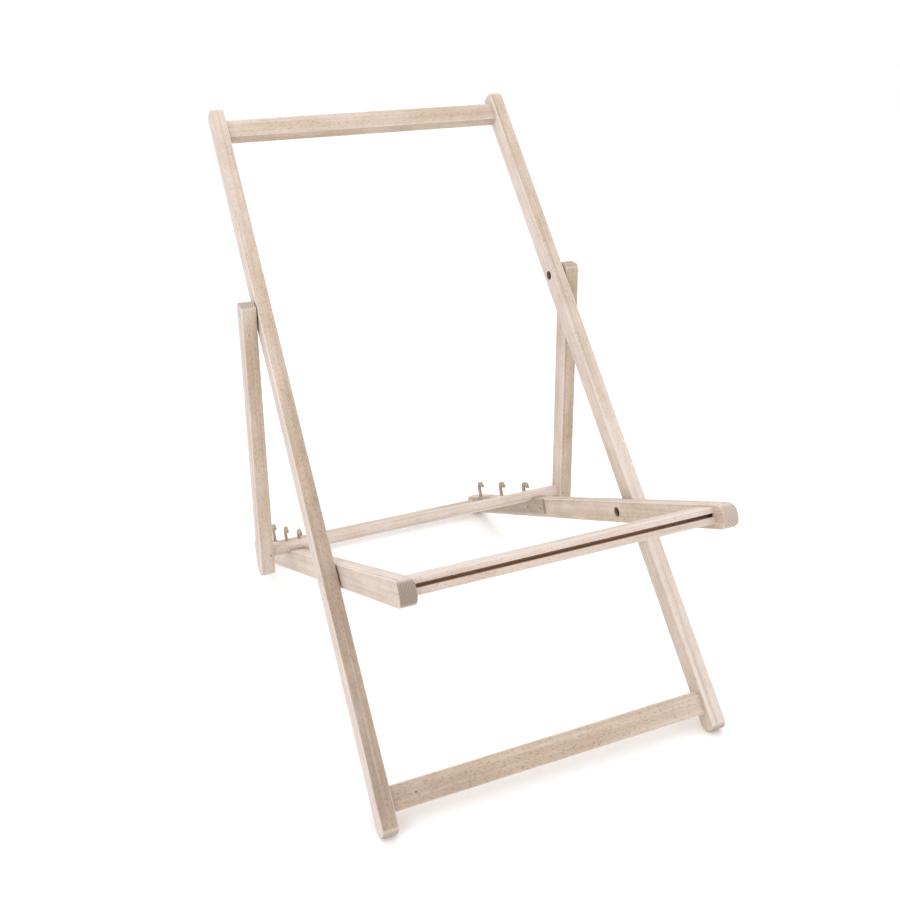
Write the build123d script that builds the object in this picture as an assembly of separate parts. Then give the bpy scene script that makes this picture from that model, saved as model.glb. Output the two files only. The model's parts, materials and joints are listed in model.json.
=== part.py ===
from build123d import *
import os
from math import acos, asin, atan2, cos, degrees, hypot, radians, sin

# Folding deckchair frame, without its sling. Millimetres, +Z up, the front faces -Y, left is -X.
# Three frames turn on one another about axes along X:
#   back frame - two long stiles with a top bar and a bottom slat
#   seat frame - two rails between the stiles, with a slotted front bar and a round rear bar
#   prop frame - two short legs outside the stiles, joined by a dowel that drops into the seat's hooks
# The chair stands on the stiles' feet and on the rails' rear ends.

# Timber stock
MEMBER_THICKNESS = 24.0        # every leg and rail, across the chair
STILE_DEPTH = 33.0
RAIL_DEPTH = 35.0
PROP_DEPTH = 33.0
END_RADIUS = 10.0              # corners of the members' ends, in side view
NOSE_ROUNDING = 0.43           # corners of the rails' front ends, as a share of the rails' depth
FOOT_ROUNDING = 0.42           # corners of the stiles' feet, as a share of the stiles' depth
ARRIS_RADIUS = 2.5             # long edges of the members
BAR_ARRIS_RADIUS = 2.0         # long edges of the cross bars

# Across the chair
SEAT_INNER_WIDTH = 449.0       # clear width between the rails
SIDE_GAP = 2.5                 # between neighbouring members, filled by the pivot washers

# Back frame, measured along the stiles from the seat pivot
STILE_BELOW = 352.0
STILE_ABOVE = 815.0
PIVOT_SPACING = 431.0          # seat pivot to prop pivot
TOP_BAR_WIDTH = 34.0
TOP_BAR_DEPTH = 22.0
TOP_BAR_FROM_END = 20.5        # upper edge to the stiles' top ends
TOP_BAR_SETBACK = 8.0          # behind the stiles' front faces
SLAT_WIDTH = 34.0
SLAT_DEPTH = 16.0
SLAT_FROM_END = 26.0           # lower edge to the stiles' feet
SLAT_SETBACK = 9.0

# Seat frame, measured along the rails from the seat pivot
RAIL_AHEAD = 285.0
RAIL_BEHIND = 631.0
FRONT_BAR_FROM_END = 23.0      # front face to the rails' front ends
FRONT_BAR_WIDTH = 34.0
FRONT_BAR_DEPTH = 23.0
FRONT_BAR_DROP = 3.5           # top face below the rails' top edges
REAR_BAR_RADIUS = 10.5
REAR_BAR_FROM_END = 31.0       # axis to the rails' rear ends

# Slots that take the ends of the sling
SEAT_SLOT_HEIGHT = 5.6
TOP_SLOT_HEIGHT = 6.0
SLING_SLOT_DEPTH = 20.0
SLING_SLOT_COVER = 8.0         # wood between the slot and the bar's upper or front face

# Prop frame
PROP_REACH = 426.0             # prop pivot to dowel axis
PROP_ABOVE = 19.5              # leg beyond its pivot
PROP_BELOW = 38.5              # leg beyond the dowel
PROP_HEEL_RADIUS = 18.0        # rear corner of the leg's lower end
PROP_DOWEL_RADIUS = 10.0

# Notches in the rails and the hooks behind them
NOTCH_DISTANCE = 307.0         # seat pivot to the dowel in the front notch
NOTCH_PITCH = 108.5
NOTCH_COUNT = 3
NOTCH_CLEARANCE = 0.4          # round the dowel
DOWEL_RISE = 6.0               # dowel axis above the rails' top edges
HOOK_SETBACK = 14.0            # middle of a hook's curl behind the dowel in its notch
HOOK_RISE = 31.5               # top of a hook above the rails
HOOK_BEND_RADIUS = 9.5         # centre line of the curl
HOOK_BAR = 6.5
HOOK_WRAP = 153.0              # degrees that the curl turns through
STRIP_THICKNESS = 5.0
STRIP_HEIGHT = 27.0
STRIP_AHEAD = 50.0             # strip in front of the front notch
STRIP_BEHIND = 24.0            # strip behind the last hook's middle
STRIP_CORNER_RADIUS = 3.0
STRIP_EDGE_RADIUS = 0.8

# Joinery
TENON_LENGTH = 14.0
TENON_SHOULDER = 4.0           # step from the bar's faces to its tenon
DOWEL_SOCKET = 14.0            # blind socket of either round bar

# Hardware
BOLT_RADIUS = 3.0
BOLT_RUNNING_CLEARANCE = 0.08
BOLT_HEAD_RADIUS = 6.5
BOLT_HEAD_HEIGHT = 2.8
BOLT_HEAD_PLAY = 0.15
BOLT_TAIL = 1.0                # shank past the nut
WASHER_RADIUS = 9.0
WASHER_PLAY = 0.15
NUT_ACROSS_FLATS = 10.0
NUT_THICKNESS = 5.0
NUT_CHAMFER = 0.6
COUNTERBORE_RADIUS = 8.0
COUNTERBORE_DEPTH = 8.0
SCREW_RADIUS = 1.5
SCREW_LENGTH = 16.0
SCREW_HEAD_RADIUS = 3.2
SCREW_HEAD_DEPTH = 1.8
SCREW_RECESS_SPAN = 3.4        # cross in the head, tip to tip
SCREW_RECESS_WIDTH = 0.8
SCREW_RECESS_DEPTH = 1.2
SCREW_DROP = 17.0              # below the rails' top edges
SCREW_FROM_END = 10.0
NAIL_RADIUS = 1.5
NAIL_LENGTH = 22.0
DOWEL_NAIL_INSET = 6.0         # from the leg's inner face
SLAT_NAIL_INSET = 36.0         # from the stile's inner face
SLAT_NAIL_LENGTH = 14.0

# Faces across the chair, from the middle outwards
RAIL_INNER = SEAT_INNER_WIDTH / 2
RAIL_OUTER = RAIL_INNER + MEMBER_THICKNESS
STILE_INNER = RAIL_OUTER + SIDE_GAP
STILE_OUTER = STILE_INNER + MEMBER_THICKNESS
PROP_INNER = STILE_OUTER + SIDE_GAP
PROP_OUTER = PROP_INNER + MEMBER_THICKNESS

# Each member is drawn in side view in its own plane: x along it, y across its depth, z to the right.
RAIL_NOSE_RADIUS = NOSE_ROUNDING * RAIL_DEPTH
FOOT_RADIUS = FOOT_ROUNDING * STILE_DEPTH
RAIL_TOP = RAIL_DEPTH / 2
STILE_FRONT = STILE_DEPTH / 2
PROP_FRONT = -PROP_DEPTH / 2
DOWEL_HEIGHT = RAIL_TOP + DOWEL_RISE


def opening_angle():
    """Angle between rail and stile with the prop's dowel in the front notch."""
    dowel_distance = hypot(NOTCH_DISTANCE, DOWEL_HEIGHT)
    cosine = (PIVOT_SPACING**2 + dowel_distance**2 - PROP_REACH**2) / (2 * PIVOT_SPACING * dowel_distance)
    return degrees(acos(cosine)) + degrees(atan2(DOWEL_HEIGHT, NOTCH_DISTANCE))


def rail_slope(opening):
    """Slope of the rails when the rounded foot of the stile and heel of the rail both touch the floor."""
    stile_x = FOOT_RADIUS - STILE_BELOW
    stile_y = FOOT_RADIUS - STILE_DEPTH / 2
    turn = radians(opening)
    foot_x = stile_x * cos(turn) - stile_y * sin(turn)
    foot_y = stile_x * sin(turn) + stile_y * cos(turn)
    run = RAIL_BEHIND - END_RADIUS - foot_x
    rise = END_RADIUS - RAIL_DEPTH / 2 - foot_y
    return degrees(asin((END_RADIUS - FOOT_RADIUS) / hypot(run, rise)) - atan2(rise, run))


def side_plane(origin, angle):
    """Side-view plane at a point, its x axis at an angle above +Y."""
    along = Vector(0, cos(radians(angle)), sin(radians(angle)))
    return Plane(origin=origin, x_dir=along, z_dir=(1, 0, 0))


OPENING = opening_angle()
RAIL_ANGLE = rail_slope(OPENING)
SEAT = side_plane((0, 0, 0), RAIL_ANGLE)
BACK = side_plane((0, 0, 0), RAIL_ANGLE + OPENING)
PROP_PIVOT = BACK.from_local_coords(Vector(PIVOT_SPACING, 0, 0))
DOWEL_CENTRE = SEAT.from_local_coords(Vector(NOTCH_DISTANCE, DOWEL_HEIGHT, 0))
PROP_LINE = DOWEL_CENTRE - PROP_PIVOT
PROP = side_plane(PROP_PIVOT, degrees(atan2(PROP_LINE.Z, PROP_LINE.Y)))


def left_of(shape):
    return mirror(shape, about=Plane.YZ)


def both_sides(shape):
    return Compound([left_of(shape), shape])


def rod(x, y, radius, inner, outer):
    """Round bar across the chair, in side-view coordinates."""
    return Pos(x, y, (inner + outer) / 2) * Cylinder(radius, outer - inner)


def block(x_low, x_high, y_low, y_high, z_low, z_high):
    centre = Pos((x_low + x_high) / 2, (y_low + y_high) / 2, (z_low + z_high) / 2)
    return centre * Box(x_high - x_low, y_high - y_low, z_high - z_low)


def member(start, end, depth, inner, outer, start_radius=END_RADIUS, heel_radius=END_RADIUS):
    """Straight leg or rail with rounded ends; the heel is the far end's corner on +y."""
    outline = Pos((start + end) / 2, 0) * Rectangle(end - start, depth)
    radii = {
        (start, -depth / 2): start_radius,
        (start, depth / 2): start_radius,
        (end, -depth / 2): END_RADIUS,
        (end, depth / 2): heel_radius,
    }
    for corner, radius in radii.items():
        outline = fillet(outline.vertices().sort_by_distance(corner)[0], radius)
    beam = extrude(Pos(0, 0, inner) * outline, outer - inner)
    rims = beam.edges().group_by(Axis.Z)[0] + beam.edges().group_by(Axis.Z)[-1]
    return fillet(rims, ARRIS_RADIUS)


def cross_bar(x_low, x_high, y_low, y_high, half_length):
    """Bar of rounded rectangular section between the two sides, with a tenon at each end."""
    bar = block(x_low, x_high, y_low, y_high, -half_length, half_length)
    bar = fillet(bar.edges().filter_by(Axis.Z), BAR_ARRIS_RADIUS)
    return bar + cross_bar_tenons(x_low, x_high, y_low, y_high, half_length + TENON_LENGTH)


def cross_bar_tenons(x_low, x_high, y_low, y_high, half_length):
    inset = TENON_SHOULDER
    return block(x_low + inset, x_high - inset, y_low + inset, y_high - inset, -half_length, half_length)


def pivot_bolt(x, head_face, nut_face):
    """Domed bolt across one pivot; it ends just past its nut."""
    tail = nut_face - NUT_THICKNESS - BOLT_TAIL
    head_seat = head_face + BOLT_HEAD_PLAY
    dome_radius = (BOLT_HEAD_RADIUS**2 + BOLT_HEAD_HEIGHT**2) / (2 * BOLT_HEAD_HEIGHT)
    dome_centre = head_seat + BOLT_HEAD_HEIGHT - dome_radius
    dome = Pos(x, 0, dome_centre) * Sphere(dome_radius)
    dome = split(dome, bisect_by=Plane.XY.offset(head_seat), keep=Keep.TOP)
    return dome + rod(x, 0, BOLT_RADIUS, tail, head_seat)


def pivot_nut(x, nut_face):
    """Plain hexagon nut, its corners chamfered at both ends."""
    corner_radius = NUT_ACROSS_FLATS / 2 / cos(radians(30))
    blank = Cylinder(corner_radius, NUT_THICKNESS)
    blank = chamfer(blank.edges(), NUT_CHAMFER)
    hexagon = RegularPolygon(NUT_ACROSS_FLATS / 2, 6, major_radius=False) - Circle(BOLT_RADIUS)
    nut = blank & extrude(hexagon, NUT_THICKNESS / 2, both=True)
    return Pos(x, 0, nut_face - NUT_THICKNESS / 2) * nut


def pivot_washer(x, inner, outer):
    low = inner + WASHER_PLAY
    high = outer - WASHER_PLAY
    return rod(x, 0, WASHER_RADIUS, low, high) - rod(x, 0, BOLT_RADIUS, low, high)


def pivot_hole(x, inner, outer):
    return rod(x, 0, BOLT_RADIUS + BOLT_RUNNING_CLEARANCE, inner, outer)


def bolt_hole(x, inner, outer):
    return rod(x, 0, BOLT_RADIUS, inner, outer)


def counterbore(x, inner):
    return rod(x, 0, COUNTERBORE_RADIUS, inner, inner + COUNTERBORE_DEPTH)


def notch_positions():
    return [NOTCH_DISTANCE + index * NOTCH_PITCH for index in range(NOTCH_COUNT)]


def notches(inner, outer):
    """Shallow round seats for the prop's dowel, one in front of each hook."""
    radius = PROP_DOWEL_RADIUS + NOTCH_CLEARANCE
    return Part() + [rod(x, DOWEL_HEIGHT, radius, inner, outer) for x in notch_positions()]


def hook_positions():
    return [x + HOOK_SETBACK for x in notch_positions()]


def hook_outline(x):
    """Cane-handle hook: a stalk that curls forward over the notch, with a round tip."""
    bend_height = RAIL_TOP + HOOK_RISE - HOOK_BEND_RADIUS - HOOK_BAR / 2
    stalk_x = x + HOOK_BEND_RADIUS
    root_height = RAIL_TOP - STRIP_HEIGHT / 2
    stalk = Pos(stalk_x, (root_height + bend_height) / 2) * Rectangle(HOOK_BAR, bend_height - root_height)
    bend = CenterArc((x, bend_height), HOOK_BEND_RADIUS, 0, HOOK_WRAP)
    tip = Pos(bend @ 1) * Circle(HOOK_BAR / 2)
    return stalk + trace(bend, HOOK_BAR) + tip


def strip_span():
    return NOTCH_DISTANCE - STRIP_AHEAD, hook_positions()[-1] + STRIP_BEHIND


def hook_strip():
    """Plastic strip with its hooks, flat against the inner face of the right rail."""
    start, end = strip_span()
    centre = Pos((start + end) / 2, RAIL_TOP - STRIP_HEIGHT / 2)
    outline = centre * RectangleRounded(end - start, STRIP_HEIGHT, STRIP_CORNER_RADIUS)
    for x in hook_positions():
        outline += hook_outline(x)
    strip = extrude(Pos(0, 0, RAIL_INNER - STRIP_THICKNESS) * outline, STRIP_THICKNESS)
    strip -= notches(RAIL_INNER - STRIP_THICKNESS, RAIL_INNER)
    strip = fillet(strip.edges().group_by(Axis.Z)[0], STRIP_EDGE_RADIUS)
    return strip - screw_blanks()


def screw_places():
    """Middles of the right strip's screw heads, at half the notch pitch."""
    first = strip_span()[0] + SCREW_FROM_END
    count = int((strip_span()[1] - SCREW_FROM_END - first) / (NOTCH_PITCH / 2)) + 1
    face = RAIL_INNER - STRIP_THICKNESS
    return [Pos(first + index * NOTCH_PITCH / 2, RAIL_TOP - SCREW_DROP, face) for index in range(count)]


def screw_blanks():
    """Countersunk screws before their heads are recessed, which is also the shape of their holes."""
    head = Pos(0, 0, SCREW_HEAD_DEPTH / 2) * Cone(SCREW_HEAD_RADIUS, SCREW_RADIUS, SCREW_HEAD_DEPTH)
    blank = head + rod(0, 0, SCREW_RADIUS, SCREW_HEAD_DEPTH, SCREW_LENGTH)
    return [place * blank for place in screw_places()]


def strip_screws():
    bar = Pos(0, 0, SCREW_RECESS_DEPTH / 2) * Box(SCREW_RECESS_SPAN, SCREW_RECESS_WIDTH, SCREW_RECESS_DEPTH)
    cross = bar + Rot(0, 0, 90) * bar
    return [blank - place * cross for blank, place in zip(screw_blanks(), screw_places())]


def front_bar_section():
    front = FRONT_BAR_FROM_END - RAIL_AHEAD
    top = RAIL_TOP - FRONT_BAR_DROP
    return front, front + FRONT_BAR_WIDTH, top - FRONT_BAR_DEPTH, top


def front_bar():
    """Seat bar laid flat, with a slot for the sling along its whole front face, tenons included."""
    front, rear, bottom, top = front_bar_section()
    bar = cross_bar(front, rear, bottom, top, RAIL_INNER)
    slot_top = top - SLING_SLOT_COVER
    slot_bottom = slot_top - SEAT_SLOT_HEIGHT
    reach = RAIL_INNER + TENON_LENGTH
    return bar - block(front, front + SLING_SLOT_DEPTH, slot_bottom, slot_top, -reach, reach)


def top_bar_section():
    upper = STILE_ABOVE - TOP_BAR_FROM_END
    front = STILE_FRONT - TOP_BAR_SETBACK
    return upper - TOP_BAR_WIDTH, upper, front - TOP_BAR_DEPTH, front


def top_bar():
    """Back bar with the same sling slot, in its upper face."""
    lower, upper, rear, front = top_bar_section()
    bar = cross_bar(lower, upper, rear, front, STILE_INNER)
    slot_front = front - SLING_SLOT_COVER
    slot_rear = slot_front - TOP_SLOT_HEIGHT
    reach = STILE_INNER + TENON_LENGTH
    return bar - block(upper - SLING_SLOT_DEPTH, upper, slot_rear, slot_front, -reach, reach)


def slat_section():
    lower = SLAT_FROM_END - STILE_BELOW
    front = STILE_FRONT - SLAT_SETBACK
    return lower, lower + SLAT_WIDTH, front - SLAT_DEPTH, front


def slat_nail():
    """Single nail in the slat's front face, near its left end."""
    lower, upper, rear, front = slat_section()
    nail = Cylinder(NAIL_RADIUS, SLAT_NAIL_LENGTH)
    centre = Pos((lower + upper) / 2, front - SLAT_NAIL_LENGTH / 2, SLAT_NAIL_INSET - STILE_INNER)
    return centre * Rot(90, 0, 0) * nail


def bottom_slat():
    return cross_bar(*slat_section(), STILE_INNER) - slat_nail()


def stile():
    """Right stile with its mortises, both pivot holes and the prop nut's counterbore."""
    beam = member(-STILE_BELOW, STILE_ABOVE, STILE_DEPTH, STILE_INNER, STILE_OUTER, FOOT_RADIUS)
    beam -= cross_bar_tenons(*top_bar_section(), STILE_INNER + TENON_LENGTH)
    beam -= cross_bar_tenons(*slat_section(), STILE_INNER + TENON_LENGTH)
    beam -= bolt_hole(0, STILE_INNER, STILE_OUTER)
    beam -= bolt_hole(PIVOT_SPACING, STILE_INNER, STILE_OUTER)
    return beam - counterbore(PIVOT_SPACING, STILE_INNER)


def rear_bar():
    reach = RAIL_INNER + DOWEL_SOCKET
    return rod(RAIL_BEHIND - REAR_BAR_FROM_END, 0, REAR_BAR_RADIUS, -reach, reach)


def rail():
    """Right seat rail with its notches, sockets, pivot hole and the seat nut's counterbore."""
    beam = member(-RAIL_AHEAD, RAIL_BEHIND, RAIL_DEPTH, RAIL_INNER, RAIL_OUTER, RAIL_NOSE_RADIUS)
    beam -= notches(RAIL_INNER, RAIL_OUTER)
    beam -= cross_bar_tenons(*front_bar_section(), RAIL_INNER + TENON_LENGTH)
    beam -= rear_bar()
    beam -= pivot_hole(0, RAIL_INNER, RAIL_OUTER)
    beam -= counterbore(0, RAIL_INNER)
    return beam - screw_blanks()


def prop_dowel():
    reach = PROP_INNER + DOWEL_SOCKET
    return rod(PROP_REACH, 0, PROP_DOWEL_RADIUS, -reach, reach)


def dowel_nail():
    """Nail that holds the dowel, driven in from the right leg's front face."""
    centre = Pos(PROP_REACH, PROP_FRONT + NAIL_LENGTH / 2, PROP_INNER + DOWEL_NAIL_INSET)
    return centre * Rot(90, 0, 0) * Cylinder(NAIL_RADIUS, NAIL_LENGTH)


def pinned_prop_dowel():
    nail = dowel_nail()
    return prop_dowel() - [nail, mirror(nail, about=Plane.XY)]


def prop_leg():
    """Right prop leg with its pivot hole, the dowel's socket and the nail's hole."""
    end = PROP_REACH + PROP_BELOW
    leg = member(-PROP_ABOVE, end, PROP_DEPTH, PROP_INNER, PROP_OUTER, heel_radius=PROP_HEEL_RADIUS)
    leg -= prop_dowel()
    leg -= pivot_hole(0, PROP_INNER, PROP_OUTER)
    return leg - dowel_nail()


def model():
    """Every piece by name, the seat pivot on the axis through the origin."""
    right_stile = BACK * stile()
    right_rail = SEAT * rail()
    right_leg = PROP * prop_leg()
    right_strip = SEAT * hook_strip()
    seat_nut_face = RAIL_INNER + COUNTERBORE_DEPTH
    prop_nut_face = STILE_INNER + COUNTERBORE_DEPTH
    seat_screws = Compound([SEAT * screw for screw in strip_screws()])
    return {
        "back_stile_left": left_of(right_stile),
        "back_stile_right": right_stile,
        "back_top_bar": BACK * top_bar(),
        "back_bottom_slat": BACK * bottom_slat(),
        "back_slat_nail": BACK * slat_nail(),
        "seat_rail_left": left_of(right_rail),
        "seat_rail_right": right_rail,
        "seat_front_bar": SEAT * front_bar(),
        "seat_rear_bar": SEAT * rear_bar(),
        "hook_strip_left": left_of(right_strip),
        "hook_strip_right": right_strip,
        "hook_strip_screws": both_sides(seat_screws),
        "prop_leg_left": left_of(right_leg),
        "prop_leg_right": right_leg,
        "prop_dowel": PROP * pinned_prop_dowel(),
        "prop_dowel_nails": both_sides(PROP * dowel_nail()),
        "seat_pivot_bolts": both_sides(BACK * pivot_bolt(0, STILE_OUTER, seat_nut_face)),
        "seat_pivot_nuts": both_sides(BACK * pivot_nut(0, seat_nut_face)),
        "seat_pivot_washers": both_sides(BACK * pivot_washer(0, RAIL_OUTER, STILE_INNER)),
        "prop_pivot_bolts": both_sides(BACK * pivot_bolt(PIVOT_SPACING, PROP_OUTER, prop_nut_face)),
        "prop_pivot_nuts": both_sides(BACK * pivot_nut(PIVOT_SPACING, prop_nut_face)),
        "prop_pivot_washers": both_sides(BACK * pivot_washer(PIVOT_SPACING, STILE_OUTER, PROP_INNER)),
    }


def on_the_floor(pieces):
    """Move the model so that the origin is under its middle, on the floor."""
    box = Compound(list(pieces.values())).bounding_box()
    to_floor = Pos(0, -box.center().Y, -box.min.Z)
    return {name: to_floor * piece for name, piece in pieces.items()}


os.makedirs("parts", exist_ok=True)
for name, piece in on_the_floor(model()).items():
    piece.label = name
    export_step(piece, f"parts/{name}.step")
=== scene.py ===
import json
import math

import bpy
from mathutils import Matrix, Vector


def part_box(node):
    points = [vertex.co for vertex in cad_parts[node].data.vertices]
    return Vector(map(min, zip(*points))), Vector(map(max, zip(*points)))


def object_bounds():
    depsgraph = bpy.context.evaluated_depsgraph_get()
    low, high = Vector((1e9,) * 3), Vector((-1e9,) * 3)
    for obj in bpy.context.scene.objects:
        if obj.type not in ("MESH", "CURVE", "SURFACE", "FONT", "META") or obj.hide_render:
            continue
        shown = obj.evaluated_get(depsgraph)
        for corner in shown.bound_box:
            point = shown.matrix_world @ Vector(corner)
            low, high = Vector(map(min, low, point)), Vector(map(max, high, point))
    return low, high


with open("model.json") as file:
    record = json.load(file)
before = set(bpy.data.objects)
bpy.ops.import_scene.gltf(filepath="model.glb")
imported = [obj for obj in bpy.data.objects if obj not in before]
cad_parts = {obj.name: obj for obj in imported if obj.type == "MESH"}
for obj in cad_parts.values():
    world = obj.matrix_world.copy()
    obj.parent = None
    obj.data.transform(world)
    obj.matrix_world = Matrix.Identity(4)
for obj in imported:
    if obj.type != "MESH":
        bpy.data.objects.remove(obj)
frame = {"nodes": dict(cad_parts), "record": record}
CAD_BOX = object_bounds()

# Camera, above the seat and to the left of its front. Metres and degrees.
CAMERA_PLACE = Vector((-0.6196, -1.4373, 1.0648))
CAMERA_YAW = 21.85             # to the right of +Y
CAMERA_PITCH = -18.75
CAMERA_ROLL = -1.29
CAMERA_LENS = 41.6
CAMERA_SHIFT = (0.0309, -0.1133)

# Wood colours, linear
PALE = (0.67, 0.57, 0.515)
TAN = (0.50, 0.39, 0.295)
HEART = (0.33, 0.245, 0.19)
STREAK = (0.34, 0.24, 0.17)
FLECK = (0.22, 0.14, 0.095)
WORN = (0.74, 0.65, 0.59)
END_PALE = (0.52, 0.43, 0.365)
END_DARK = (0.27, 0.205, 0.16)
# painted shade for the inside of the sling slots
SLOT_SHADE = (0.60, 0.40, 0.28)
# painted shade for the inside of the nut bores
BORE_SHADE = (0.24, 0.145, 0.095)

# Noise in the wood: repeats per metre along and across the grain, detail, roughness
BROAD = (1.6, 34.0, 2.0, 0.55)
BANDS = (1.3, 95.0, 3.0, 0.55)
STREAKS = (2.6, 260.0, 4.0, 0.6)
FINE = (14.0, 900.0, 3.0, 0.65)
PATCHES = (9.0, 12.0, 2.0, 0.55)
CLOUDS = (16.0, 40.0, 3.0, 0.55)
RING_WANDER = (1.0, 60.0, 2.0, 0.55)

# Cells in the wood: repeats per metre along and across the grain
FLECKS = (120.0, 640.0)
SMALL_FLECKS = (300.0, 1500.0)
PORES = (40.0, 2600.0)

MOST = (0.3, 0.7)              # where most of a noise's values lie
SEED_STEP = (3.7, 0.61, 0.37)  # metres that the grain shifts for each unit of a piece's seed
PITH = (0.045, 0.02)           # growth rings' centre: metres from the origin, against facing and side
RING_TURN = 1900.0             # radians of ring pattern per metre of radius
RING_WANDER_DEPTH = 0.006      # metres that the rings wander

# Cuts in the wood, darkened inside with painted shade. A cut's painted shade fades in from the first
# distance to the second, in metres.
SLOT_EDGE = (0.0036, 0.0032)   # from the slot's middle plane
SLOT_MOUTH = (0.0002, 0.002)   # below its mouth
SLOT_FLOOR = (0.0215, 0.0205)  # below its mouth, at its floor
BORE_EDGE = (0.0086, 0.0083)   # from the bore's axis
BORE_MOUTH = (0.0002, 0.0014)  # below its mouth

# Plastic colours, linear
PLASTIC = ((0.38, 0.30, 0.225), (0.31, 0.24, 0.175))
PLASTIC_GRAIN = (0.22, 0.16, 0.11)
PLASTIC_RUBBED = (0.56, 0.46, 0.37)

# Metals: linear colour, colour of the dull spots, roughness
BOLT_PLATE = ((0.62, 0.61, 0.58), (0.30, 0.28, 0.25), 0.22)
NUT_PLATE = ((0.07, 0.052, 0.04), (0.035, 0.025, 0.018), 0.5)
WASHER_PLATE = ((0.46, 0.35, 0.27), (0.24, 0.17, 0.12), 0.5)
SCREW_PLATE = ((0.36, 0.31, 0.25), (0.16, 0.12, 0.09), 0.35)
NAIL_STEEL = ((0.22, 0.18, 0.15), (0.10, 0.07, 0.05), 0.5)
# painted shade on the bolts' tips, sunk in the nut bores
BOLT_TIP_SHADE = (0.04, 0.03, 0.024)

FLOOR_HALF = 12.0
FLOOR_WHITE = 0.97
SKY_STRENGTH = 1.06

# name, place, size, power
LIGHTS = (
    ("key", (-2.6, -1.6, 2.6), 2.2, 26.0),
    ("fill", (2.2, -2.6, 1.8), 2.6, 8.0),
    ("top", (0.2, 0.6, 3.6), 2.8, 26.0),
)


# ---------------------------------------------------------------- directions of the three frames
def joint(name):
    return next(j for j in frame["record"]["behaviour"]["joints"] if j["name"] == name)


def mount(name):
    """A mount's place and the way it faces."""
    found = next(m for m in frame["record"]["mounts"] if m["name"] == name)
    return Vector(found["pos_m"]), Vector(found["axis"]).normalized()


def middle(node):
    low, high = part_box(node)
    return (Vector(low) + Vector(high)) / 2


ACROSS = Vector((1, 0, 0))
TOP_SLOT = mount("top_sling_slot")
SEAT_SLOT = mount("front_sling_slot")
STILE_UP = TOP_SLOT[1]
RAIL_FORWARD = SEAT_SLOT[1]
PROP_DOWN = (middle("prop_dowel") - Vector(joint("prop_fold")["pos_m"])).normalized()


# ---------------------------------------------------------------- node helpers
class Tree:
    """A material's node tree with short calls for the few nodes used here."""

    def __init__(self, name):
        self.material = bpy.data.materials.new(name)
        self.material.use_nodes = True
        self.nodes = self.material.node_tree.nodes
        self.links = self.material.node_tree.links
        self.shader = self.nodes["Principled BSDF"]

    def put(self, socket, value):
        if isinstance(value, bpy.types.NodeSocket):
            self.links.new(value, socket)
        else:
            socket.default_value = value

    def node(self, kind, **settings):
        node = self.nodes.new(kind)
        for key, value in settings.items():
            setattr(node, key, value)
        return node

    def math(self, operation, a, b=0.0):
        node = self.node("ShaderNodeMath", operation=operation)
        self.put(node.inputs[0], a)
        self.put(node.inputs[1], b)
        return node.outputs[0]

    def vector(self, operation, a, b=(0, 0, 0)):
        node = self.node("ShaderNodeVectorMath", operation=operation)
        self.put(node.inputs[0], a)
        self.put(node.inputs[1], b)
        return node.outputs["Value" if operation in ("DOT_PRODUCT", "LENGTH") else "Vector"]

    def combine(self, x, y, z):
        node = self.node("ShaderNodeCombineXYZ")
        for socket, value in zip(node.inputs, (x, y, z)):
            self.put(socket, value)
        return node.outputs[0]

    def noise(self, vector, detail=3.0, roughness=0.55):
        node = self.node("ShaderNodeTexNoise", noise_dimensions="3D")
        self.put(node.inputs["Vector"], vector)
        self.put(node.inputs["Scale"], 1.0)
        self.put(node.inputs["Detail"], detail)
        self.put(node.inputs["Roughness"], roughness)
        return node.outputs[0]

    def cells(self, vector):
        node = self.node("ShaderNodeTexVoronoi", feature="F1")
        self.put(node.inputs["Vector"], vector)
        self.put(node.inputs["Scale"], 1.0)
        return node.outputs["Distance"]

    def span(self, value, low, high, to_low=0.0, to_high=1.0):
        node = self.node("ShaderNodeMapRange", interpolation_type="SMOOTHSTEP")
        for socket, number in zip(node.inputs[:5], (value, low, high, to_low, to_high)):
            self.put(socket, number)
        return node.outputs[0]

    def mix(self, factor, a, b):
        node = self.node("ShaderNodeMix", data_type="RGBA")
        self.put(node.inputs[0], factor)
        for socket, colour in ((node.inputs[6], a), (node.inputs[7], b)):
            self.put(socket, (*colour, 1.0) if isinstance(colour, tuple) else colour)
        return node.outputs[2]

    def bump(self, height, strength, distance):
        node = self.node("ShaderNodeBump")
        node.inputs["Strength"].default_value = strength
        node.inputs["Distance"].default_value = distance
        self.put(node.inputs["Height"], height)
        self.put(self.shader.inputs["Normal"], node.outputs[0])


# ---------------------------------------------------------------- materials
def grain_span(node, along):
    """Where a piece starts and ends along its grain."""
    reach = [vertex.co.dot(along) for vertex in frame["nodes"][node].data.vertices]
    return min(reach), max(reach)


class Wood(Tree):
    """A tree with the directions and patterns of one piece of beech."""

    def __init__(self, node, along, facing, seed):
        super().__init__("beech_" + node)
        side = along.cross(facing).normalized()
        self.place = self.node("ShaderNodeTexCoord").outputs["Object"]
        self.distance, self.height, self.width = (
            self.vector("DOT_PRODUCT", self.place, way) for way in (along, facing, side))
        turned = self.node("ShaderNodeTexCoord").outputs["Normal"]
        self.on_end, self.on_face, self.on_side = (
            self.math("ABSOLUTE", self.vector("DOT_PRODUCT", turned, way)) for way in (along, facing, side))
        self.grain = [self.math("ADD", way, seed * step) for way, step in
                      zip((self.distance, self.height, self.width), SEED_STEP)]
        self.streaks = self.pattern(STREAKS)
        self.fine = self.pattern(FINE)
        self.flecks = self.specks(FLECKS)
        self.patches = self.pattern(PATCHES)

    def stretched(self, along_scale, across_scale):
        scales = (along_scale, across_scale, across_scale)
        return self.combine(*(self.math("MULTIPLY", way, scale) for way, scale in zip(self.grain, scales)))

    def pattern(self, settings):
        along_scale, across_scale, detail, roughness = settings
        return self.noise(self.stretched(along_scale, across_scale), detail, roughness)

    def specks(self, scales):
        return self.cells(self.stretched(*scales))


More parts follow.
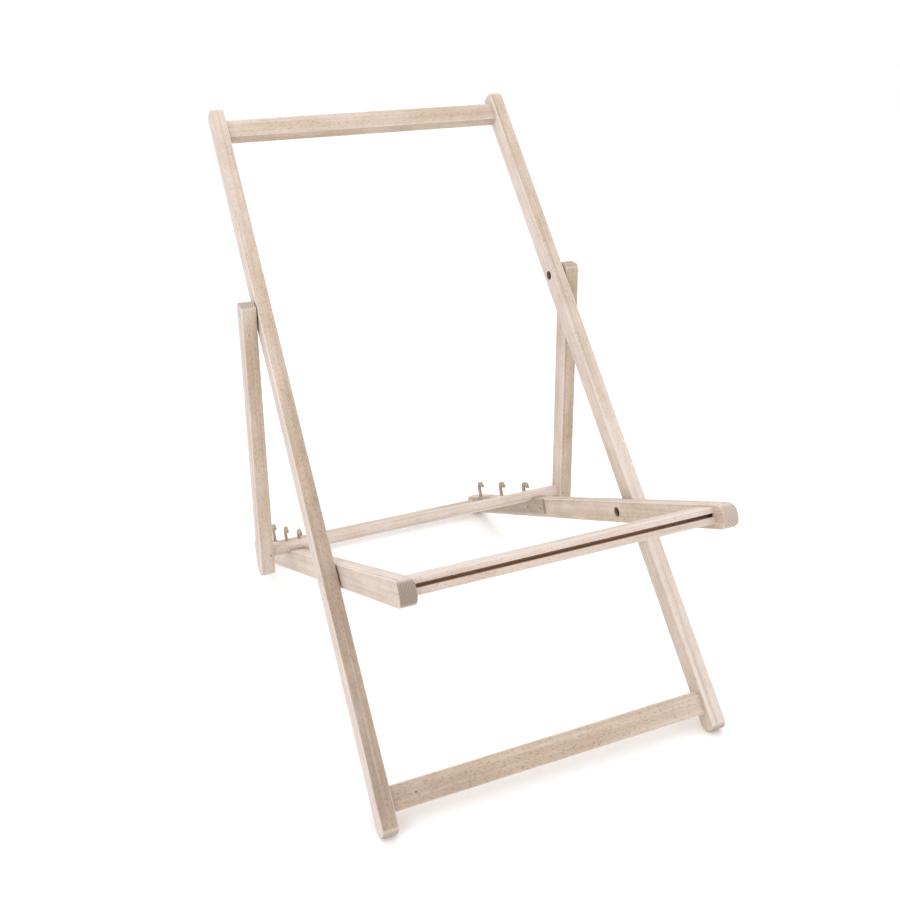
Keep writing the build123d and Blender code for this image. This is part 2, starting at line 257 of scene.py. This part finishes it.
def tone(wood, node, along, faces, sides):
    """How far each point goes from pale (0) over tan (1) to heartwood (2)."""
    start, finish = grain_span(node, along)
    on_faces = wood.span(wood.distance, start, finish, *faces)
    on_sides = wood.span(wood.distance, start, finish, *sides)
    share = wood.span(wood.on_face, 0.5, 0.8)
    tan = wood.math("ADD", wood.math("MULTIPLY", on_faces, share),
                    wood.math("MULTIPLY", on_sides, wood.math("SUBTRACT", 1.0, share)))
    for pattern, low, high in ((BROAD, -0.2, 0.22), (BANDS, -0.12, 0.14), (CLOUDS, -0.2, 0.2)):
        tan = wood.math("ADD", tan, wood.span(wood.pattern(pattern), *MOST, low, high))
    return tan


def long_grain(wood, tan):
    """Colour of the faces along the grain: tone, streaks, flecks and pale patches."""
    colour = wood.mix(wood.math("MAXIMUM", wood.math("MINIMUM", tan, 1.0), 0.0), PALE, TAN)
    colour = wood.mix(wood.math("MAXIMUM", wood.math("SUBTRACT", tan, 1.0), 0.0), colour, HEART)
    colour = wood.mix(wood.span(wood.streaks, 0.5, 0.72, 0.0, 0.42), colour, STREAK)
    colour = wood.mix(wood.span(wood.streaks, 0.46, 0.3, 0.0, 0.22), colour, WORN)
    colour = wood.mix(wood.span(wood.fine, 0.52, 0.72, 0.0, 0.3), colour, STREAK)
    fleck_depth = wood.span(tan, 0.0, 1.4, 0.35, 0.85)
    flecked = wood.math("MULTIPLY", wood.span(wood.flecks, 0.34, 0.14), fleck_depth)
    colour = wood.mix(flecked, colour, FLECK)
    fleck_depth = wood.math("MULTIPLY", fleck_depth, 0.6)
    flecked = wood.math("MULTIPLY", wood.span(wood.specks(SMALL_FLECKS), 0.3, 0.1), fleck_depth)
    colour = wood.mix(flecked, colour, FLECK)
    return wood.mix(wood.span(wood.patches, 0.55, 0.75, 0.0, 0.15), colour, WORN)


def rub_edges(wood, colour):
    """Pale wear along the arrises, stronger in some stretches than in others."""
    flat = wood.math("MAXIMUM", wood.on_end, wood.math("MAXIMUM", wood.on_face, wood.on_side))
    arris = wood.span(flat, 0.985, 0.85, 0.0, 0.6)
    rubbed = wood.math("MULTIPLY", arris, wood.span(wood.patches, 0.3, 0.6, 0.4, 1.0))
    return wood.mix(rubbed, colour, WORN)


def end_grain(wood, end_tone):
    """Colour of the sawn ends: growth rings about the pith, pores and a rubbed rim."""
    wander = wood.math("MULTIPLY", wood.pattern(RING_WANDER), RING_WANDER_DEPTH)
    across = (wood.math("ADD", way, shift) for way, shift in zip((wood.height, wood.width), PITH))
    from_pith = wood.combine(0.0, *across)
    radius = wood.math("ADD", wood.vector("LENGTH", from_pith), wander)
    rings = wood.math("SINE", wood.math("MULTIPLY", radius, RING_TURN))
    colour = wood.mix(wood.span(rings, -0.8, 1.0, end_tone - 0.2, end_tone + 0.24), END_PALE, END_DARK)
    colour = wood.mix(wood.span(wood.specks(PORES), 0.3, 0.1, 0.0, 0.35), colour, FLECK)
    return wood.mix(wood.span(wood.on_end, 0.8, 0.5, 0.0, 0.3), colour, WORN)


def shade_in_groove(wood, mouth, facing):
    """How far a point lies inside a sling slot, where painted shade darkens the wood."""
    from_mouth = wood.vector("SUBTRACT", wood.place, mouth)
    height = wood.math("ABSOLUTE", wood.vector("DOT_PRODUCT", from_mouth, ACROSS.cross(facing)))
    depth = wood.vector("DOT_PRODUCT", from_mouth, -facing)
    between_walls = wood.span(height, *SLOT_EDGE)
    below_mouth = wood.math("MULTIPLY", wood.span(depth, *SLOT_MOUTH, 0.0, 0.9),
                            wood.span(depth, *SLOT_FLOOR))
    return wood.math("MULTIPLY", between_walls, below_mouth)


def shade_in_bore(wood, axis_point, mouth):
    """How far a point lies inside a nut's hole, where painted shade darkens the wood."""
    from_axis = wood.vector("MULTIPLY", wood.vector("SUBTRACT", wood.place, axis_point), (0.0, 1.0, 1.0))
    from_middle = wood.math("ABSOLUTE", wood.vector("DOT_PRODUCT", wood.place, ACROSS))
    depth = wood.math("SUBTRACT", from_middle, mouth)
    return wood.math("MULTIPLY", wood.span(wood.vector("LENGTH", from_axis), *BORE_EDGE),
                     wood.span(depth, *BORE_MOUTH, 0.0, 0.85))


def beech(node, along, facing, seed, faces, sides, end_tone, round_bar, groove, bore):
    """Sanded pale beech, its grain along one direction.

    faces and sides say how far the pair of faces square to facing, and the other pair, go from
    pale (0) over tan (1) to heartwood (2), first at the start of the piece and then at its end.
    end_tone goes from pale to dark end grain.
    groove is a slot cut into the piece, as the middle of its mouth and the way it faces; its inside is
    darkened with painted shade.
    bore is a nut's hole, as a point on its axis and how far its mouth is from the chair's middle; its
    inside is darkened with painted shade.
    """
    wood = Wood(node, along, facing, seed)
    colour = long_grain(wood, tone(wood, node, along, faces, sides))
    if not round_bar:
        colour = rub_edges(wood, colour)
    end = wood.span(wood.on_end, 0.3, 0.6)
    colour = wood.mix(end, colour, end_grain(wood, end_tone))
    # painted shade inside the sling slot
    if groove:
        colour = wood.mix(shade_in_groove(wood, *groove), colour, SLOT_SHADE)
    # painted shade inside the nut's bore
    if bore:
        colour = wood.mix(shade_in_bore(wood, *bore), colour, BORE_SHADE)
    wood.put(wood.shader.inputs["Base Color"], colour)

    rough = wood.math("ADD", wood.span(wood.streaks, *MOST, 0.46, 0.58), wood.math("MULTIPLY", end, 0.14))
    wood.put(wood.shader.inputs["Roughness"], rough)
    wood.shader.inputs["Specular IOR Level"].default_value = 0.35
    streaks, fine = (wood.math("MULTIPLY", pattern, 0.5) for pattern in (wood.streaks, wood.fine))
    dips = wood.span(wood.flecks, 0.34, 0.12, 0.0, 0.3)
    relief = wood.math("SUBTRACT", wood.math("ADD", streaks, fine), dips)
    wood.bump(relief, 0.4, 0.0003)
    return wood.material


def moulded_plastic(name):
    """Beige satin moulding with faint flow marks, a fine texture and rubbed edges."""
    tree = Tree(name)
    place = tree.node("ShaderNodeTexCoord").outputs["Object"]
    flow = tree.noise(tree.vector("MULTIPLY", place, (20.0, 45.0, 110.0)), detail=3.0)
    grain = tree.noise(tree.vector("MULTIPLY", place, (1800.0, 1800.0, 1800.0)), detail=2.0)
    colour = tree.mix(tree.span(flow, *MOST), *PLASTIC)
    colour = tree.mix(tree.span(grain, 0.6, 0.8, 0.0, 0.3), colour, PLASTIC_GRAIN)
    turned = tree.node("ShaderNodeTexCoord").outputs["Normal"]
    flat = tree.math("ABSOLUTE", tree.vector("DOT_PRODUCT", turned, ACROSS))
    edge = tree.math("MULTIPLY", tree.span(flat, 0.98, 0.8), tree.span(flat, 0.1, 0.4))
    colour = tree.mix(tree.math("MULTIPLY", edge, 0.5), colour, PLASTIC_RUBBED)
    tree.put(tree.shader.inputs["Base Color"], colour)
    tree.put(tree.shader.inputs["Roughness"], tree.span(flow, *MOST, 0.34, 0.48))
    tree.bump(grain, 0.25, 0.00008)
    return tree.material


def metal(name, colour, dull, roughness, tip_within=0.0):
    """Plated or bare steel with turning marks, dull spots and uneven gloss.

    Closer to the middle of the chair than tip_within, a bolt's tip, sunk in its nut's bore, gets painted
    shade, nearly black.
    """
    tree = Tree(name)
    place = tree.node("ShaderNodeTexCoord").outputs["Object"]
    spots = tree.noise(tree.vector("MULTIPLY", place, (700.0, 700.0, 700.0)), detail=4.0, roughness=0.7)
    marks = tree.noise(tree.vector("MULTIPLY", place, (6000.0, 500.0, 500.0)), detail=2.0)
    shade = tree.mix(tree.span(spots, 0.45, 0.7, 0.0, 0.35), colour, dull)
    # painted shade on the bolt's tip, inside the bore
    if tip_within:
        from_middle = tree.math("ABSOLUTE", tree.vector("DOT_PRODUCT", place, ACROSS))
        shade = tree.mix(tree.math("LESS_THAN", from_middle, tip_within), shade, BOLT_TIP_SHADE)
    tree.put(tree.shader.inputs["Base Color"], shade)
    tree.shader.inputs["Metallic"].default_value = 1.0
    tree.put(tree.shader.inputs["Roughness"], tree.span(spots, *MOST, roughness, roughness + 0.2))
    tree.bump(tree.math("ADD", spots, marks), 0.2, 0.00006)
    return tree.material


def dress(node, material):
    piece = frame["nodes"][node]
    if not piece.material_slots:
        piece.data.materials.append(material)
    for holder in piece.material_slots:
        holder.link = "OBJECT"
        holder.material = material


BACK_FACING = STILE_UP.cross(ACROSS)
SEAT_FACING = RAIL_FORWARD.cross(ACROSS)
PROP_FACING = PROP_DOWN.cross(ACROSS)

# node, grain, facing, seed, tan of the faces and of the sides (start, end), end tone, round bar
WOODS = (
    ("back_stile_left", STILE_UP, BACK_FACING, 1.0, (1.9, 0.45), (0.1, 0.05), 0.4, False),
    ("back_stile_right", STILE_UP, BACK_FACING, 2.3, (0.0, 0.8), (0.75, 0.05), 0.4, False),
    ("back_top_bar", ACROSS, BACK_FACING, 3.1, (0.6, 0.75), (1.15, 1.0), 0.4, False),
    ("back_bottom_slat", ACROSS, BACK_FACING, 4.7, (1.15, 0.65), (0.4, 0.4), 0.4, False),
    # seat_rail_left's dark end tone of 1.0 is painted shade on its end grain
    ("seat_rail_left", RAIL_FORWARD, SEAT_FACING, 5.2, (0.4, 0.4), (0.4, 0.55), 1.0, False),
    ("seat_rail_right", RAIL_FORWARD, SEAT_FACING, 6.9, (0.55, 0.55), (0.8, 0.75), 0.25, False),
    ("seat_front_bar", ACROSS, SEAT_FACING, 7.4, (0.1, 0.1), (0.4, 0.4), 0.4, False),
    ("seat_rear_bar", ACROSS, SEAT_FACING, 8.8, (0.65, 0.65), (0.65, 0.65), 0.4, True),
    ("prop_leg_left", PROP_DOWN, PROP_FACING, 9.5, (0.7, 0.8), (0.25, 0.35), 0.5, False),
    ("prop_leg_right", PROP_DOWN, PROP_FACING, 10.2, (1.0, 1.0), (0.3, 0.3), 0.5, False),
    ("prop_dowel", ACROSS, PROP_FACING, 11.6, (0.25, 0.25), (0.25, 0.25), 0.5, True),
)


def nut_bores():
    """Each rail's bore at the seat pivot and each stile's at the prop pivot."""
    bores = {}
    for hinge, member in (("back_fold", "seat_rail"), ("prop_fold", "back_stile")):
        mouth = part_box(member + "_right")[0][0]
        for hand in ("_left", "_right"):
            bores[member + hand] = (Vector(joint(hinge)["pos_m"]), mouth)
    return bores


def dress_wood():
    grooves = {"back_top_bar": TOP_SLOT, "seat_front_bar": SEAT_SLOT}
    bores = nut_bores()
    for settings in WOODS:
        node = settings[0]
        dress(node, beech(*settings, grooves.get(node), bores.get(node)))


def dress_hardware():
    plastic = moulded_plastic("hook_plastic")
    dress("hook_strip_left", plastic)
    dress("hook_strip_right", plastic)
    nut = metal("nut_plate", *NUT_PLATE)
    washer = metal("washer_plate", *WASHER_PLATE)
    for pivot in ("seat_pivot", "prop_pivot"):
        nut_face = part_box(pivot + "_nuts")[1][0]
        dress(pivot + "_bolts", metal(pivot + "_bolt_plate", *BOLT_PLATE, tip_within=nut_face))
        dress(pivot + "_nuts", nut)
        dress(pivot + "_washers", washer)
    dress("hook_strip_screws", metal("screw_plate", *SCREW_PLATE))
    nail = metal("nail_steel", *NAIL_STEEL)
    dress("back_slat_nail", nail)
    dress("prop_dowel_nails", nail)


# ---------------------------------------------------------------- floor, light and camera
def make_floor():
    mesh = bpy.data.meshes.new("floor")
    corners = [(x * FLOOR_HALF, y * FLOOR_HALF, 0) for x, y in ((-1, -1), (1, -1), (1, 1), (-1, 1))]
    mesh.from_pydata(corners, [], [(0, 1, 2, 3)])
    floor = bpy.data.objects.new("floor", mesh)
    bpy.context.collection.objects.link(floor)
    tree = Tree("floor_paper")
    tree.shader.inputs["Base Color"].default_value = (FLOOR_WHITE, FLOOR_WHITE, FLOOR_WHITE, 1)
    tree.shader.inputs["Roughness"].default_value = 0.9
    tree.shader.inputs["Specular IOR Level"].default_value = 0.1
    mesh.materials.append(tree.material)


def area_light(name, place, target, size, power):
    data = bpy.data.lights.new(name, "AREA")
    data.shape = "DISK"
    data.size = size
    data.energy = power
    light = bpy.data.objects.new(name, data)
    bpy.context.collection.objects.link(light)
    light.location = place
    light.rotation_mode = "QUATERNION"
    light.rotation_quaternion = (target - Vector(place)).to_track_quat("-Z", "Y")


def make_lights():
    world = bpy.data.worlds.new("studio")
    bpy.context.scene.world = world
    world.use_nodes = True
    background = world.node_tree.nodes["Background"]
    background.inputs["Color"].default_value = (1.0, 1.0, 1.0, 1)
    background.inputs["Strength"].default_value = SKY_STRENGTH
    target = (Vector(CAD_BOX[0]) + Vector(CAD_BOX[1])) / 2
    for name, place, size, power in LIGHTS:
        area_light(name, place, target, size, power)
    bpy.context.scene.view_settings.view_transform = "Standard"


def make_camera():
    yaw, pitch, roll = (math.radians(a) for a in (CAMERA_YAW, CAMERA_PITCH, CAMERA_ROLL))
    ahead = Vector((math.sin(yaw) * math.cos(pitch), math.cos(yaw) * math.cos(pitch), math.sin(pitch)))
    level = Vector((math.cos(yaw), -math.sin(yaw), 0))
    upright = level.cross(ahead)
    right = math.cos(roll) * level + math.sin(roll) * upright
    up = math.cos(roll) * upright - math.sin(roll) * level
    data = bpy.data.cameras.new("camera")
    data.sensor_width = 36.0
    data.lens = CAMERA_LENS
    data.shift_x, data.shift_y = CAMERA_SHIFT
    camera = bpy.data.objects.new("camera", data)
    bpy.context.collection.objects.link(camera)
    turn = Matrix((right, up, -ahead)).transposed()
    camera.matrix_world = Matrix.Translation(CAMERA_PLACE) @ turn.to_4x4()
    bpy.context.scene.camera = camera


dress_wood()
dress_hardware()
make_floor()
make_lights()
make_camera()
